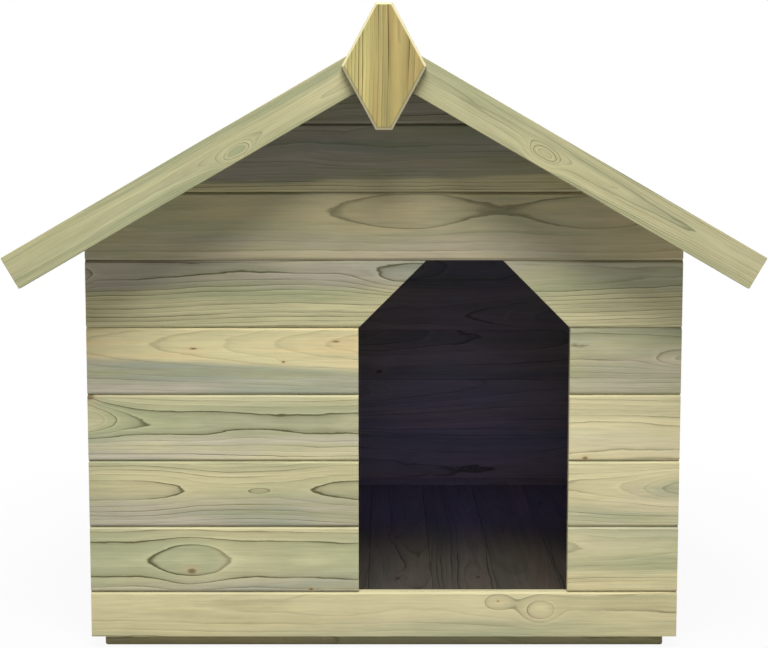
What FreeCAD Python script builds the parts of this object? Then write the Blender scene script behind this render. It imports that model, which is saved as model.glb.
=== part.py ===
"""Boarded timber dog house: an offset doorway, a pitched roof and one roof half hinged at the ridge.

Millimetres. The front faces -Y, +Z is up, and the origin is on the ground under the middle.
The sheet holds the driving sizes, and the layout works out from them what several pieces share.
"""

import FreeCAD, Part
import Sketcher
import math
import os
import re

# Name, size and meaning. Lengths are in millimetres and the pitch is in degrees.
DRIVING_SIZES = (
    ("wall_width", 668, "outside width over the side walls"),
    ("body_depth", 664, "outside depth over the front and back walls"),
    ("base_gap", 13.5, "ground to the lower edge of the walls"),
    ("base_board_height", 52, "lowest board of every wall"),
    ("eaves_board_height", 38.3, "top board of a side wall, on its outer face"),
    ("board_cover", 75.7, "height that one wall board covers"),
    ("board_thickness", 12, "wall and floor boards"),
    ("tongue_length", 5, "tongue above its board's shoulder"),
    ("tongue_thickness", 3.6, "tongue between its two faces"),
    ("groove_clearance", 0.25, "room at each side and at the bottom of a groove"),
    ("edge_chamfer", 2.4, "bevel of the V between two boards"),
    ("joint_gap", 0.3, "open joint between neighbouring boards"),
    ("smallest_rip", 15, "narrowest strip that a last board is ripped to"),
    ("door_margin", 125.25, "doorway to the right-hand corner"),
    ("door_width", 237.5, "clear width of the doorway"),
    ("batten_width", 28, "upright batten beside the doorway"),
    ("batten_thickness", 18, "batten measured from the wall inwards"),
    ("batten_setback", 8, "batten behind the doorway's edge"),
    ("batten_reach", 36, "batten above the doorway's top"),
    ("bearer_height", 44, "bearer on edge under the floor"),
    ("bearer_width", 28, "bearer measured front to back"),
    ("bearer_end_gap", 1.5, "bearer's end to the side wall"),
    ("floor_edge_gap", 0.8, "floor to the walls all round"),
    ("post_width", 28, "square corner post"),
    ("post_reach", 11, "post above the highest whole side board"),
    ("roof_pitch", 30, "slope of both roof halves"),
    ("roof_board_cover", 78.9, "width that one roof board covers"),
    ("roof_board_thickness", 12, "roof boards"),
    ("eaves_overhang", 76, "roof past the side wall, measured level"),
    ("gable_overhang", 67, "roof boards past the front and the back wall"),
    ("seat_gap", 0.3, "roof to the walls that it rests on"),
    ("ridge_gap", 1.5, "fixed half to hinged half along the ridge"),
    ("lid_end_gap", 0.5, "hinged half to the finial at each end"),
    ("barge_width", 38, "barge board across its slope"),
    ("barge_thickness", 14, "barge board front to back"),
    ("rafter_depth", 26, "rafter square to the slope"),
    ("rafter_width", 28, "rafter front to back"),
    ("rafter_end_gap", 6, "rafter's lower end to the side wall"),
    ("lid_rafter_gap", 4, "outer rafters of the hinged half to the gable walls"),
    ("finial_height", 133, "finial between its flat tips"),
    ("finial_width", 90, "finial between its side points"),
    ("finial_tip", 17.5, "width of the finial's flat tips"),
    ("finial_thickness", 12, "finial front to back"),
    ("finial_chamfer", 3, "bevel round the finial's face"),
    ("finial_drop", 34, "finial's middle below the ridge"),
    ("hinge_margin", 72, "end wall to the middle of the nearest hinge"),
    ("hinge_length", 66, "hinge along the ridge"),
    ("hinge_reach", 30, "ridge to the outer edge of a hinge leaf"),
    ("leaf_thickness", 1.5, "sheet of a hinge leaf"),
    ("middle_knuckle", 22, "length of the hinged leaf's knuckle"),
    ("knuckle_gap", 0.4, "between two knuckles on the pin"),
    ("pin_radius", 1.5, "hinge pin"),
    ("pin_clearance", 0.3, "round the pin, and between knuckles and roof"),
    ("screw_pitch", 22, "between the screws of a leaf"),
    ("screw_setback", 18, "ridge to the row of screws"),
    ("screw_length", 12, "countersunk screw over all"),
    ("screw_radius", 1.6, "screw shank"),
    ("screw_head_radius", 3.2, "countersunk head"),
    ("screw_clearance", 0.15, "screw to its hole"),
)

# Whole boards above the base board beside the doorway, and boards above them in each gable.
DOOR_ROWS = 5
GABLE_ROWS = 3

# Worked-out places that several pieces share.
LAYOUT = (
    ("base_top", "base_gap + base_board_height"),
    ("door_top", f"base_top + {DOOR_ROWS} * board_cover"),
    ("door_right", "wall_width / 2 - door_margin"),
    ("door_left", "door_right - door_width"),
    ("inner_half_width", "wall_width / 2 - board_thickness"),
    ("inner_half_depth", "body_depth / 2 - board_thickness"),
    ("floor_top", "bearer_height + board_thickness"),
    ("floor_width", "2 * (inner_half_width - floor_edge_gap)"),
    ("eaves_height", "door_top + eaves_board_height"),
    ("roof_plumb", "roof_board_thickness / cos(roof_pitch)"),
    ("seat_drop", "seat_gap / cos(roof_pitch)"),
    ("gable_peak", "eaves_height + wall_width / 2 * tan(roof_pitch) - seat_drop"),
    ("ridge_height", "gable_peak + seat_drop + roof_plumb"),
    ("roof_reach", "wall_width / 2 + eaves_overhang"),
    ("slope_length", "roof_reach / cos(roof_pitch)"),
    ("boarded_slope", "slope_length - ridge_gap / 2 / cos(roof_pitch)"),
    ("fixed_half_length", "body_depth / 2 + gable_overhang"),
    ("lid_half_length", "fixed_half_length - lid_end_gap"),
    ("knuckle_radius", "pin_radius + pin_clearance + leaf_thickness"),
    ("hinge_rise", "knuckle_radius + pin_clearance"),
    ("hinge_inset", "hinge_rise * tan(roof_pitch)"),
    ("hinge_height", "ridge_height + hinge_rise / cos(roof_pitch)"),
)

document = FreeCAD.newDocument("DogHouse")
parts = {}


# ---------------------------------------------------------------- sizes

def make_sheet():
    """Put the driving sizes in a spreadsheet, one named cell each."""
    sheet = document.addObject("Spreadsheet::Sheet", "Sizes")
    for row, (name, number, meaning) in enumerate(DRIVING_SIZES, start=1):
        sheet.set(f"A{row}", name)
        sheet.set(f"B{row}", str(number))
        sheet.set(f"C{row}", meaning)
        sheet.setAlias(f"B{row}", name)
    document.recompute()
    return sheet


def make_layout():
    """Bind the worked-out places to the sheet."""
    layout = document.addObject("App::VarSet", "Layout")
    for name, formula in LAYOUT:
        layout.addProperty("App::PropertyFloat", name)
        layout.setExpression(name, bound(formula))
    document.recompute()
    return layout


def bound(formula):
    """Turn the names in a formula into references to the sheet or the layout."""
    owners = {name: "Sizes" for name, _, _ in DRIVING_SIZES}
    owners.update({name: "Layout" for name, _ in LAYOUT})

    def reference(match):
        word = match.group(0)
        return f"{owners[word]}.{word}" if word in owners else word

    return re.sub(r"[a-z_]+", reference, formula)


# ---------------------------------------------------------------- sketches and features

def new_body(name):
    return document.addObject("PartDesign::Body", name)


def new_sketch(body, plane_role, name):
    """Start a sketch on one of the body's own origin planes."""
    plane = next(feature for feature in body.Origin.OriginFeatures if feature.Role == plane_role)
    sketch = body.newObject("Sketcher::SketchObject", name)
    sketch.AttachmentSupport = [(plane, "")]
    sketch.MapMode = "FlatFace"
    return sketch


def fix_coordinate(sketch, kind, geometry, point, formula):
    """Hold one coordinate of a point: on the axis if it is zero, else at a bound distance."""
    if formula == "0":
        axis = -2 if kind == "DistanceX" else -1
        sketch.addConstraint(Sketcher.Constraint("PointOnObject", geometry, point, axis))
        return
    index = sketch.addConstraint(Sketcher.Constraint(kind, geometry, point, 1.0))
    sketch.setExpression(f"Constraints[{index}]", bound(formula))


def draw_polygon(sketch, corners):
    """Draw a closed outline whose corners are pairs of formulas."""
    count = len(corners)
    turn = 2 * math.pi / count
    ring = [FreeCAD.Vector(math.cos(turn * i), math.sin(turn * i), 0) for i in range(count)]
    for i in range(count):
        sketch.addGeometry(Part.LineSegment(ring[i], ring[(i + 1) % count]))
    for i in range(count):
        sketch.addConstraint(Sketcher.Constraint("Coincident", i, 2, (i + 1) % count, 1))
    for i, (across, up) in enumerate(corners):
        before = corners[i - 1] if i else (None, None)
        if across == before[0]:
            sketch.addConstraint(Sketcher.Constraint("Vertical", i - 1))
        else:
            fix_coordinate(sketch, "DistanceX", i, 1, across)
        if up == before[1]:
            sketch.addConstraint(Sketcher.Constraint("Horizontal", i - 1))
        else:
            fix_coordinate(sketch, "DistanceY", i, 1, up)


def draw_circle(sketch, across, up, radius):
    index = sketch.addGeometry(Part.Circle(FreeCAD.Vector(0, 0, 0), FreeCAD.Vector(0, 0, 1), 1))
    fix_coordinate(sketch, "DistanceX", index, 3, across)
    fix_coordinate(sketch, "DistanceY", index, 3, up)
    size = sketch.addConstraint(Sketcher.Constraint("Radius", index, 1.0))
    sketch.setExpression(f"Constraints[{size}]", bound(radius))


def add_pad(body, sketch, length, centred=False):
    pad = body.newObject("PartDesign::Pad", "Pad")
    pad.Profile = sketch
    pad.setExpression("Length", bound(length))
    pad.SideType = "Symmetric" if centred else "One side"
    return pad


def add_pocket(body, sketch, length, centred=True):
    pocket = body.newObject("PartDesign::Pocket", "Pocket")
    pocket.Profile = sketch
    pocket.setExpression("Length", bound(length))
    pocket.SideType = "Symmetric" if centred else "One side"
    return pocket


def place(body, across, along, up, yaw="0", pitch="0", roll="0"):
    """Place a body at bound coordinates, turned by bound angles."""
    spot = f"vector({across}; {along}; {up})"
    turn = f"rotation({yaw}; {pitch}; {roll})"
    body.setExpression(".Placement", bound(f"placement({spot}; {turn})"))


def keep(body, name):
    """Make an object one of the named parts that are written out."""
    body.Label = name
    parts[name] = body


def keep_group(bodies, name):
    """Keep like pieces as one named part with separate solids."""
    group = document.addObject("Part::Compound", name)
    group.Links = bodies
    keep(group, name)


# ---------------------------------------------------------------- boards

def board_outline(cover, thickness, foot, head_slope):
    """Section of a board, from its face inwards and from its foot up.

    The foot is "groove" or "square". Without a head slope the head has a tongue. With one, the
    head is cut straight, and its back edge is higher than the face by that much.
    """
    tongue_face = f"({thickness} - tongue_thickness) / 2"
    tongue_back = f"({thickness} + tongue_thickness) / 2"
    if foot == "groove":
        groove_face = f"{tongue_face} - groove_clearance"
        groove_back = f"{tongue_back} + groove_clearance"
        groove_top = "joint_gap + tongue_length + groove_clearance"
        face_start = [("0", "joint_gap + edge_chamfer")]
        foot_corners = [
            (thickness, "joint_gap"),
            (groove_back, "joint_gap"),
            (groove_back, groove_top),
            (groove_face, groove_top),
            (groove_face, "joint_gap"),
            ("edge_chamfer", "joint_gap"),
        ]
    else:
        face_start = [("0", "0")]
        foot_corners = [(thickness, "0")]
    if head_slope is None:
        head_corners = [
            ("0", f"{cover} - edge_chamfer"),
            ("edge_chamfer", cover),
            (tongue_face, cover),
            (tongue_face, f"{cover} + tongue_length"),
            (tongue_back, f"{cover} + tongue_length"),
            (tongue_back, cover),
            (thickness, cover),
        ]
    else:
        head_corners = [("0", cover), (thickness, f"{cover} + {head_slope}")]
    return face_start + head_corners + foot_corners


def new_board(name, length, cover="board_cover", foot="groove", head_slope=None,
              thickness="board_thickness"):
    """A board that runs along its own X, with its face at Y = 0 and its foot at Z = 0."""
    board = new_body(name)
    section = new_sketch(board, "YZ_Plane", "Section")
    draw_polygon(section, board_outline(cover, thickness, foot, head_slope))
    add_pad(board, section, length)
    return board


def saw_board(board, corners):
    """Saw an outline, drawn on the board's face, right through the board."""
    cut = new_sketch(board, "XZ_Plane", "Cut")
    draw_polygon(cut, corners)
    add_pocket(board, cut, "4 * board_thickness")


def split_into_boards(span, cover, smallest):
    """How many whole boards fit below the last one, which is ripped to what is left."""
    return math.ceil((span - smallest) / cover) - 1


# ---------------------------------------------------------------- walls

def row_foot(row):
    """Height of a wall board's foot. Row 1 stands on the base board."""
    return f"base_top + {row - 1} * board_cover"


def gable_board(name, row):
    """A full-width board of the gable, sawn to the slopes of the roof."""
    peak = f"gable_peak - ({row_foot(row)})"
    if row == DOOR_ROWS + GABLE_ROWS:
        board = new_board(name, "wall_width", cover=f"{peak} + board_thickness", head_slope="0")
    else:
        board = new_board(name, "wall_width")
    slope_foot = f"{peak} - (wall_width / 2 + board_cover) * tan(roof_pitch)"
    clear_top = f"{peak} + board_cover"
    saw_board(board, [
        ("-board_cover", slope_foot),
        ("wall_width / 2", peak),
        ("wall_width + board_cover", slope_foot),
        ("wall_width + board_cover", clear_top),
        ("-board_cover", clear_top),
    ])
    return board


def front_base_board():
    """Lowest front board. Its tongue is planed off in the doorway, where it is the sill."""
    board = new_board("BaseBoard", "wall_width", cover="base_board_height", foot="square")
    sill_left = "wall_width / 2 + door_left"
    sill_right = "wall_width / 2 + door_right"
    tongue_clear = "base_board_height + 2 * tongue_length"
    saw_board(board, [
        (sill_left, "base_board_height"),
        (sill_right, "base_board_height"),
        (sill_right, tongue_clear),
        (sill_left, tongue_clear),
    ])
    place(board, "-wall_width / 2", "-body_depth / 2", "base_gap")
    keep(board, "front_base_board")


def front_board_left(row):
    """Board from the left corner to the doorway. The highest one is sawn at 45 degrees."""
    name = f"front_board_left_{row}"
    run = "wall_width / 2 + door_left"
    corner = "board_cover + tongue_length"
    if row < DOOR_ROWS:
        board = new_board(name, run)
    else:
        board = new_board(name, f"{run} + {corner}")
        saw_board(board, [
            (f"{run} - edge_chamfer", "-edge_chamfer"),
            (f"{run} + {corner} + edge_chamfer", "-edge_chamfer"),
            (f"{run} + {corner} + edge_chamfer", f"{corner} + edge_chamfer"),
        ])
    place(board, "-wall_width / 2", "-body_depth / 2", row_foot(row))
    keep(board, name)


def front_board_right(row):
    """Board from the doorway to the right corner. The highest one is sawn at 45 degrees."""
    name = f"front_board_right_{row}"
    run = "door_margin"
    corner = "board_cover + tongue_length"
    if row < DOOR_ROWS:
        board = new_board(name, run)
        start = "door_right"
    else:
        board = new_board(name, f"{run} + {corner}")
        start = f"door_right - ({corner})"
        saw_board(board, [
            ("-edge_chamfer", "-edge_chamfer"),
            (f"{corner} + edge_chamfer", "-edge_chamfer"),
            ("-edge_chamfer", f"{corner} + edge_chamfer"),
        ])
    place(board, start, "-body_depth / 2", row_foot(row))
    keep(board, name)


def front_wall():
    front_base_board()
    for row in range(1, DOOR_ROWS + 1):
        front_board_left(row)
        front_board_right(row)
    for step in range(1, GABLE_ROWS + 1):
        board = gable_board(f"FrontGable{step}", DOOR_ROWS + step)
        place(board, "-wall_width / 2", "-body_depth / 2", row_foot(DOOR_ROWS + step))
        keep(board, f"front_gable_board_{step}")


def back_wall():
    """The same courses as the front, without a doorway, facing backwards."""
    base = new_board("BackBase", "wall_width", cover="base_board_height", foot="square")
    place(base, "wall_width / 2", "body_depth / 2", "base_gap", yaw="180")
    boards = [base]
    for row in range(1, DOOR_ROWS + GABLE_ROWS + 1):
        if row <= DOOR_ROWS:
            board = new_board(f"BackBoard{row}", "wall_width")
        else:
            board = gable_board(f"BackBoard{row}", row)
        place(board, "wall_width / 2", "body_depth / 2", row_foot(row), yaw="180")
        boards.append(board)
    keep_group(boards, "back_wall_boards")


def side_wall(side, hand):
    """Boards between the front and the back wall. The top one is ripped to the roof's slope."""
    length = "2 * (inner_half_depth - joint_gap)"
    for row in range(DOOR_ROWS + 2):
        name = f"{side}_wall_board_{row}"
        foot_height = row_foot(row)
        if row == 0:
            board = new_board(name, length, cover="base_board_height", foot="square")
            foot_height = "base_gap"
        elif row <= DOOR_ROWS:
            board = new_board(name, length)
        else:
            board = new_board(name, length, cover="eaves_board_height - seat_drop",
                              head_slope="board_thickness * tan(roof_pitch)")
        across = f"{hand} * wall_width / 2"
        along = f"-{hand} * (inner_half_depth - joint_gap)"
        place(board, across, along, foot_height, yaw=f"{hand} * 90")
        keep(board, name)


# ---------------------------------------------------------------- frame and floor

def new_block(name, wide, deep, high):
    """A squared timber with one lower corner at its own origin."""
    block = new_body(name)
    plan = new_sketch(block, "XY_Plane", "Plan")
    draw_polygon(plan, [("0", "0"), (wide, "0"), (wide, deep), ("0", deep)])
    add_pad(block, plan, high)
    return block


def bearers():
    """Three timbers on edge that carry the floor and stand on the ground."""
    length = "2 * (inner_half_width - bearer_end_gap)"
    spots = {
        "bearer_front": "-inner_half_depth",
        "bearer_middle": "-bearer_width / 2",
        "bearer_rear": "inner_half_depth - bearer_width",
    }
    for name, along in spots.items():
        bearer = new_block(name, length, "bearer_width", "bearer_height")
        place(bearer, "-(inner_half_width - bearer_end_gap)", along, "0")
        keep(bearer, name)


def floor(layout, sheet):
    """Boards that run front to back on the bearers, the last one ripped to width."""
    length = "2 * (inner_half_depth - floor_edge_gap)"
    whole = split_into_boards(layout.floor_width, sheet.board_cover, sheet.smallest_rip)
    boards = []
    for index in range(whole + 1):
        foot = "groove" if index else "square"
        name = f"FloorBoard{index + 1}"
        if index < whole:
            board = new_board(name, length, foot=foot)
        else:
            board = new_board(name, length, cover=f"floor_width - {whole} * board_cover",
                              foot=foot, head_slope="0")
        across = f"-floor_width / 2 + {index} * board_cover"
        along = "-(inner_half_depth - floor_edge_gap)"
        place(board, across, along, "bearer_height", yaw="90", roll="90")
        boards.append(board)
    keep_group(boards, "floor_boards")


def corner_posts():
    """Posts in the four inner corners, standing on the floor."""
    acrosses = {"left": "-inner_half_width", "right": "inner_half_width - post_width"}
    alongs = {"front": "-inner_half_depth", "rear": "inner_half_depth - post_width"}
    for end, along in alongs.items():
        for side, across in acrosses.items():
            name = f"corner_post_{end}_{side}"
            post = new_block(name, "post_width", "post_width", "door_top + post_reach - floor_top")
            place(post, across, along, "floor_top")
            keep(post, name)


def door_battens():
    """Uprights behind the front wall that join the short boards beside the doorway."""
    acrosses = {
        "left": "door_left - batten_setback - batten_width",
        "right": "door_right + batten_setback",
    }
    for side, across in acrosses.items():
        name = f"door_batten_{side}"
        height = "door_top + batten_reach - floor_top"
        batten = new_block(name, "batten_width", "batten_thickness", height)
        place(batten, across, "-inner_half_depth", "floor_top")
        keep(batten, name)


# ---------------------------------------------------------------- roof

def new_rake(name, reach, drop, depth, width):
    """A timber that follows the slope, with a plumb cut at the ridge and a square lower end.

    Its own origin is the ridge, and its upper edge runs at that drop below the roof's top.
    """
    half_gap = "ridge_gap / 2"
    end_height = f"-{drop} - {reach} * tan(roof_pitch)"
    ridge_end = f"-{drop} - {half_gap} * tan(roof_pitch)"
    rake = new_body(name)
    side_view = new_sketch(rake, "XZ_Plane", "SideView")
    draw_polygon(side_view, [
        (half_gap, ridge_end),
        (reach, end_height),
        (f"{reach} - {depth} * sin(roof_pitch)", f"{end_height} - {depth} * cos(roof_pitch)"),
        (half_gap, f"{ridge_end} - {depth} / cos(roof_pitch)"),
    ])
    add_pad(rake, side_view, width, centred=True)
    return rake


def drill_for_hinges(board, half_length, board_start):
    """Blind holes in the ridge board for the hinge screws."""
    holes = new_sketch(board, "XZ_Plane", "ScrewHoles")
    up_slope = f"slope_length - ({board_start}) - screw_setback"
    for along in screw_places():
        draw_circle(holes, f"{half_length} + {along}", up_slope, "screw_radius + screw_clearance")
    document.recompute()
    depth = "screw_length - leaf_thickness + screw_clearance"
    add_pocket(board, holes, depth, centred=False)


def roof_boards(half, hand, half_length, layout, sheet):
    """Boards along the roof, from the eaves up. The ridge board is ripped with a plumb edge."""
    whole = split_into_boards(layout.boarded_slope, sheet.roof_board_cover, sheet.smallest_rip)
    boards = []
    for index in range(whole + 1):
        foot = "groove" if index else "square"
        name = f"{half}_roof_board_{index + 1}"
        start = f"{index} * roof_board_cover"
        if index < whole:
            board = new_board(name, f"2 * {half_length}", cover="roof_board_cover", foot=foot,
                              thickness="roof_board_thickness")
        else:
            board = new_board(name, f"2 * {half_length}", cover=f"(boarded_slope - {start})",
                              foot=foot, head_slope="-roof_board_thickness * tan(roof_pitch)",
                              thickness="roof_board_thickness")
            drill_for_hinges(board, half_length, start)
        from_middle = f"(roof_reach - {start} * cos(roof_pitch))"
        place(board, f"{hand} * {from_middle}", f"-{hand} * {half_length}",
              f"ridge_height - {from_middle} * tan(roof_pitch)",
              yaw=f"{hand} * 90", roll="roof_pitch - 90")
        boards.append(board)
    keep_group(boards, f"{half}_roof_boards")


def roof_half(half, hand, half_length, rafter_gap, layout, sheet):
    """One slope of the roof: its boards, three rafters under them and a barge board each end."""
    yaw = "90 - " + f"{hand} * 90"
    roof_boards(half, hand, half_length, layout, sheet)
    outer_rafter = f"(inner_half_depth - {rafter_gap} - rafter_width / 2)"
    for end, along in (("front", f"-{outer_rafter}"), ("middle", "0"), ("rear", outer_rafter)):
        name = f"{half}_rafter_{end}"
        rafter = new_rake(name, "(inner_half_width - rafter_end_gap)", "roof_plumb",
                          "rafter_depth", "rafter_width")
        place(rafter, "0", along, "ridge_height", yaw=yaw)
        keep(rafter, name)
    barge_middle = f"({half_length} + barge_thickness / 2)"
    for end, along in (("front", f"-{barge_middle}"), ("rear", barge_middle)):
        name = f"{half}_barge_{end}"
        barge = new_rake(name, "roof_reach", "0", "barge_width", "barge_thickness")
        place(barge, "0", along, "ridge_height", yaw=yaw)
        keep(barge, name)


def finials():
    """Six-sided boards on the fixed half's barge boards that hide the joint at the ridge."""
    face_place = "fixed_half_length + barge_thickness"
    for end, along, yaw in (("front", f"-({face_place})", "0"), ("rear", face_place, "180")):
        name = f"finial_{end}"
        finial = new_body(name)
        outline = new_sketch(finial, "XZ_Plane", "Outline")
        draw_polygon(outline, [
            ("finial_width / 2", "0"),
            ("finial_tip / 2", "finial_height / 2"),
            ("-finial_tip / 2", "finial_height / 2"),
            ("-finial_width / 2", "0"),
            ("-finial_tip / 2", "-finial_height / 2"),
            ("finial_tip / 2", "-finial_height / 2"),
        ])
        pad = add_pad(finial, outline, "finial_thickness")
        document.recompute()
        face = pad.Shape.BoundBox.YMin
        rim = [f"Edge{number}" for number, edge in enumerate(pad.Shape.Edges, start=1)
               if edge.BoundBox.YMax < face + edge.BoundBox.DiagonalLength / 1000]
        bevel = finial.newObject("PartDesign::Chamfer", "FaceBevel")
        bevel.Base = (pad, rim)
        bevel.setExpression("Size", bound("finial_chamfer"))
        place(finial, "0", along, "ridge_height - finial_drop", yaw=yaw)
        keep(finial, name)


# ---------------------------------------------------------------- hinges

HINGE_MIDDLES = ("hinge_margin - body_depth / 2", "body_depth / 2 - hinge_margin")
SCREW_STEPS = ("-screw_pitch", "0", "screw_pitch")


def screw_places():
    """Places of the hinge screws along the ridge."""
    return [f"{middle} + {step}" for middle in HINGE_MIDDLES for step in SCREW_STEPS]


def hinge_leaf(name, own_knuckles):
    """A sheet leaf with its knuckles round the pin, lying on the slope that it is screwed to.

    Its own origin is the ridge, X runs down the slope and Z points out of the roof.
    """
    root = "hinge_rise - hinge_inset"
    tab = "pin_radius - hinge_inset"
    half = "hinge_length / 2"
    if own_knuckles == "middle":
        inner_ends = (root, tab)
        notch = "middle_knuckle / 2"
    else:
        inner_ends = (tab, root)
        notch = "middle_knuckle / 2 + knuckle_gap"
    leaf = new_body(name)
    plan = new_sketch(leaf, "XY_Plane", "Plan")
    draw_polygon(plan, [
        ("hinge_reach", f"-{half}"),
        ("hinge_reach", half),
        (inner_ends[0], half),
        (inner_ends[0], notch),
        (inner_ends[1], notch),
        (inner_ends[1], f"-({notch})"),
        (inner_ends[0], f"-({notch})"),
        (inner_ends[0], f"-{half}"),
    ])
    add_pad(leaf, plan, "leaf_thickness")
    barrel = new_sketch(leaf, "XZ_Plane", "Barrel")
    draw_circle(barrel, "-hinge_inset", "hinge_rise", "knuckle_radius")
    if own_knuckles == "middle":
        add_pad(leaf, barrel, "middle_knuckle", centred=True)
    else:
        add_pad(leaf, barrel, "hinge_length", centred=True)
        room = new_sketch(leaf, "XZ_Plane", "KnuckleRoom")
        draw_circle(room, "-hinge_inset", "hinge_rise", "knuckle_radius + pin_clearance")
        add_pocket(leaf, room, "middle_knuckle + 2 * knuckle_gap")
    bore = new_sketch(leaf, "XZ_Plane", "PinBore")
    draw_circle(bore, "-hinge_inset", "hinge_rise", "pin_radius + pin_clearance")
    add_pocket(leaf, bore, "2 * hinge_length")
    countersink_leaf(leaf)
    return leaf


def countersink_leaf(leaf):
    """Three countersunk holes down through the leaf."""
    centres = new_sketch(leaf, "XY_Plane", "ScrewCentres")
    centres.setExpression(".AttachmentOffset.Base.z", bound("leaf_thickness"))
    for step in SCREW_STEPS:
        draw_circle(centres, "screw_setback", step, "screw_radius")
    document.recompute()
    hole = leaf.newObject("PartDesign::Hole", "ScrewHoles")
    hole.Profile = centres
    document.recompute()
    hole.ThreadType = "None"
    hole.DepthType = "ThroughAll"
    hole.HoleCutType = "Countersink"
    hole.HoleCutCountersinkAngle = 90
    hole.setExpression("Diameter", bound("2 * (screw_radius + screw_clearance)"))
    hole.setExpression("HoleCutDiameter", bound("2 * (screw_head_radius + screw_clearance)"))


def hinge_leaves(half, yaw, own_knuckles):
    leaves = []
    for number, middle in enumerate(HINGE_MIDDLES, start=1):
        leaf = hinge_leaf(f"{half}_leaf_{number}", own_knuckles)
        place(leaf, "0", middle, "ridge_height", yaw=yaw, pitch="roof_pitch")
        leaves.append(leaf)
    keep_group(leaves, f"hinge_leaves_{half}")


def hinge_screws(half, hand, yaw):
    """Countersunk screws, flush with the leaf."""
    across = f"{hand} * (screw_setback * cos(roof_pitch) + leaf_thickness * sin(roof_pitch))"
    up = "ridge_height - screw_setback * sin(roof_pitch) + leaf_thickness * cos(roof_pitch)"
    screws = []
    for number, along in enumerate(screw_places(), start=1):
        screw = new_body(f"{half}_screw_{number}")
        section = new_sketch(screw, "XZ_Plane", "HalfSection")
        draw_polygon(section, [
            ("0", "0"),
            ("screw_head_radius", "0"),
            ("screw_radius", "screw_radius - screw_head_radius"),
            ("screw_radius", "-screw_length"),
            ("0", "-screw_length"),
        ])
        turned = screw.newObject("PartDesign::Revolution", "Turned")
        turned.Profile = section
        turned.ReferenceAxis = (section, ["V_Axis"])
        turned.Angle = 360
        place(screw, across, along, up, yaw=yaw, pitch="roof_pitch")
        screws.append(screw)
    keep_group(screws, f"hinge_screws_{half}")


def hinge_pins():
    pins = []
    for number, middle in enumerate(HINGE_MIDDLES, start=1):
        pin = new_body(f"pin_{number}")
        section = new_sketch(pin, "XZ_Plane", "Section")
        draw_circle(section, "0", "0", "pin_radius")
        add_pad(pin, section, "hinge_length", centred=True)
        place(pin, "0", middle, "hinge_height")
        pins.append(pin)
    keep_group(pins, "hinge_pins")


# ---------------------------------------------------------------- checks and files

def check_document():
    """Stop if an object failed, or if a cut took nothing away."""
    for item in document.Objects:
        if "Invalid" in item.State or "Error" in item.State:
            raise RuntimeError(f"{item.Label} failed: {item.State}")
    for cut in document.Objects:
        if cut.TypeId in ("PartDesign::Pocket", "PartDesign::Hole"):
            if cut.Shape.Volume >= cut.BaseFeature.Shape.Volume:
                raise RuntimeError(f"{cut.Label} cuts nothing")


def write_parts(folder):
    os.makedirs(folder, exist_ok=True)
    for name, part in parts.items():
        if part.Shape.isNull() or not part.Shape.isValid():
            raise RuntimeError(f"{name} has no valid shape")
        part.Shape.exportStep(os.path.join(folder, f"{name}.step"))


def build_dog_house():
    sheet = make_sheet()
    layout = make_layout()
    bearers()
    floor(layout, sheet)
    front_wall()
    back_wall()
    side_wall("left", "-1")
    side_wall("right", "1")
    corner_posts()
    door_battens()
    roof_half("fixed", "-1", "fixed_half_length", "0", layout, sheet)
    roof_half("lid", "1", "lid_half_length", "lid_rafter_gap", layout, sheet)
    finials()
    hinge_leaves("fixed", "180", "outer")
    hinge_leaves("lid", "0", "middle")
    hinge_screws("fixed", "-1", "180")
    hinge_screws("lid", "1", "0")
    hinge_pins()
    document.recompute()
    check_document()
    write_parts("parts")
    print(f"{len(parts)} parts, hinge axis at height {layout.hinge_height:.3f}")


build_dog_house()
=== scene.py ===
"""Dog house of planed, pressure-treated pine, dressed for rendering.

The shapes of the boards, roof, barge boards and hinges come from the frame. Each board gets the
growth rings, knots and colours of the log that it was sawn from."""

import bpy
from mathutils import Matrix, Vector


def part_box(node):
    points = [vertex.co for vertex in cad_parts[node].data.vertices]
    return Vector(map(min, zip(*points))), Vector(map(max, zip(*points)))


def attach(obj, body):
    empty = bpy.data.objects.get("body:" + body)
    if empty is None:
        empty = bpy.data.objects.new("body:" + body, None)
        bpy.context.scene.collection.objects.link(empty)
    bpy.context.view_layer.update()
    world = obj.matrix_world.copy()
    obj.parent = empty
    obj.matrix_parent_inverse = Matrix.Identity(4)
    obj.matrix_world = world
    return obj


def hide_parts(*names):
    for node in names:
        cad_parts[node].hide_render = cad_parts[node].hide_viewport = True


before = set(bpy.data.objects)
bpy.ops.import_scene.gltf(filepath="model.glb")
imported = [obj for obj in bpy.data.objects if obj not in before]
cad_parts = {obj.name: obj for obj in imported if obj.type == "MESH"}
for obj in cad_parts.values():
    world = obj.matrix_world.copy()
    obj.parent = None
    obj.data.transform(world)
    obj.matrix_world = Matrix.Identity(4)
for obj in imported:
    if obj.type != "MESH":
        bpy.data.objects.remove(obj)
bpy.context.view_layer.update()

import math
import random

import bmesh
import bpy
from bpy.props import FloatProperty, FloatVectorProperty, PointerProperty
from mathutils import Vector

bl_info = {
    "name": "Dog house",
    "version": (1, 0, 0),
    "blender": (4, 5, 0),
    "location": "View3D > Sidebar > Dog house",
    "description": "A boarded timber dog house with a hinged roof half",
    "category": "Object",
}

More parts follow.
